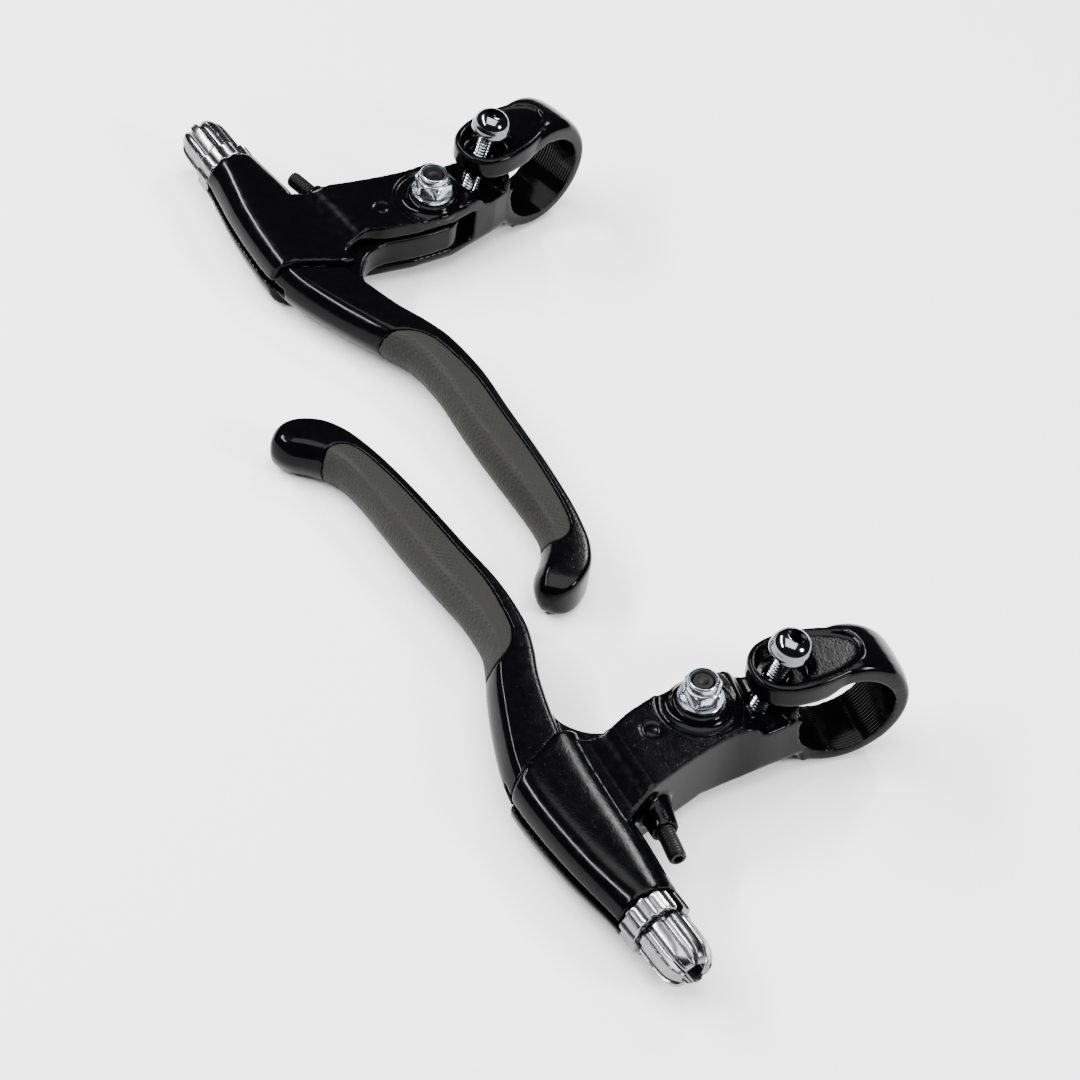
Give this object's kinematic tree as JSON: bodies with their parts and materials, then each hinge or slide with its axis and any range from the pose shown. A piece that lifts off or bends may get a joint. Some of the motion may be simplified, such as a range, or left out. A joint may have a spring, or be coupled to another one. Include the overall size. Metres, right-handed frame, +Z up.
{
  "type": "bicycle brake lever pair",
  "caption": "Left and right bicycle brake levers with bar clamp, pivoting rubber-faced blade, cable adjuster, and reach screw.",
  "frame": {"origin": "middle of the pair's footprint on the bench they lie on", "axes": "+Z up from the bench; +Y and +X along the footprint, with the left lever towards +X and -Y"},
  "size_m": [0.1908, 0.252, 0.0374],
  "materials": {
    "black_enamel": "gloss black enamel on cast aluminium",
    "grip_rubber": "matt dimpled dark grey rubber",
    "zinc_steel": "bright zinc-plated steel",
    "nylon": "dark nylon locking insert",
    "bush_brass": "plain turned brass",
    "chrome_steel": "polished chrome-plated steel",
    "cast_aluminium": "bare fluted aluminium",
    "black_steel": "black-oxide steel screw"
  },
  "bodies": {
    "brackets": {"left_bracket": "black_enamel", "left_pivot_bolt": "zinc_steel", "left_pivot_nut": "zinc_steel", "left_nut_insert": "nylon", "left_pivot_washer": "zinc_steel", "left_upper_thrust_washer": "zinc_steel", "left_lower_thrust_washer": "zinc_steel", "right_bracket": "black_enamel", "right_pivot_bolt": "zinc_steel", "right_pivot_nut": "zinc_steel", "right_nut_insert": "nylon", "right_pivot_washer": "zinc_steel", "right_upper_thrust_washer": "zinc_steel", "right_lower_thrust_washer": "zinc_steel"},
    "left_blade": {"left_lever_blade": "black_enamel", "left_grip_pad": "grip_rubber", "left_pivot_bush": "bush_brass"},
    "left_anchor": {"left_cable_anchor": "zinc_steel"},
    "left_barrel": {"left_adjuster_barrel": "cast_aluminium"},
    "left_lock": {"left_adjuster_lock_ring": "cast_aluminium"},
    "left_reach": {"left_reach_screw": "black_steel"},
    "left_clamp_screw": {"left_clamp_bolt": "chrome_steel"},
    "right_blade": {"right_lever_blade": "black_enamel", "right_grip_pad": "grip_rubber", "right_pivot_bush": "bush_brass"},
    "right_anchor": {"right_cable_anchor": "zinc_steel"},
    "right_barrel": {"right_adjuster_barrel": "cast_aluminium"},
    "right_lock": {"right_adjuster_lock_ring": "cast_aluminium"},
    "right_reach": {"right_reach_screw": "black_steel"},
    "right_clamp_screw": {"right_clamp_bolt": "chrome_steel"}
  },
  "joints": [
    {"name": "left_blade_pull", "type": "hinge", "parent": "brackets", "child": "left_blade", "pos_m": [0.05204, -0.0606, 0.01143], "axis": [0.0709, 0.0273, -0.9971], "range_deg": [0, 9]},
    {"name": "left_anchor_turn", "type": "hinge", "parent": "left_blade", "child": "left_anchor", "pos_m": [0.02286, -0.07996, 0.00883], "axis": [0.0709, 0.0273, -0.9971], "range_deg": [-9, 0]},
    {"name": "left_adjuster_travel", "type": "slide", "parent": "brackets", "child": "left_barrel", "axis": [0.6456, -0.7632, 0.025], "range_m": [0, 0.006]},
    {"name": "left_lock_ring_spin", "type": "hinge", "parent": "brackets", "child": "left_lock", "pos_m": [0.04857, -0.11025, 0.00882], "axis": [0.6456, -0.7632, 0.025], "continuous": true},
    {"name": "left_reach_screw_travel", "type": "slide", "parent": "brackets", "child": "left_reach", "axis": [0.4688, -0.8832, 0.0092], "range_m": [0, 0.004]},
    {"name": "left_clamp_bolt_travel", "type": "slide", "parent": "brackets", "child": "left_clamp_screw", "axis": [0.1896, 0.1108, 0.9756], "range_m": [-0.004, 0.001]},
    {"name": "right_blade_pull", "type": "hinge", "parent": "brackets", "child": "right_blade", "pos_m": [-0.03131, 0.0856, 0.01143], "axis": [-0.0375, -0.0661, 0.9971], "range_deg": [0, 28]},
    {"name": "right_anchor_turn", "type": "hinge", "parent": "right_blade", "child": "right_anchor", "pos_m": [-0.05478, 0.0596, 0.00883], "axis": [-0.0375, -0.0661, 0.9971], "range_deg": [-28, 0]},
    {"name": "right_adjuster_travel", "type": "slide", "parent": "brackets", "child": "right_barrel", "axis": [-0.6594, 0.7514, 0.025], "range_m": [0, 0.006]},
    {"name": "right_lock_ring_spin", "type": "hinge", "parent": "brackets", "child": "right_lock", "pos_m": [-0.08092, 0.0895, 0.00882], "axis": [-0.6594, 0.7514, 0.025], "continuous": true},
    {"name": "right_reach_screw_travel", "type": "slide", "parent": "brackets", "child": "right_reach", "axis": [-0.8042, 0.5942, 0.0092], "range_m": [0, 0.004]},
    {"name": "right_clamp_bolt_travel", "type": "slide", "parent": "brackets", "child": "right_clamp_screw", "axis": [0.1376, 0.1711, 0.9756], "range_m": [-0.004, 0.001]}
  ],
  "couplings": [
    {"joint": "left_anchor_turn", "follows": "left_blade_pull", "ratio": -1},
    {"joint": "right_anchor_turn", "follows": "right_blade_pull", "ratio": -1}
  ]
}
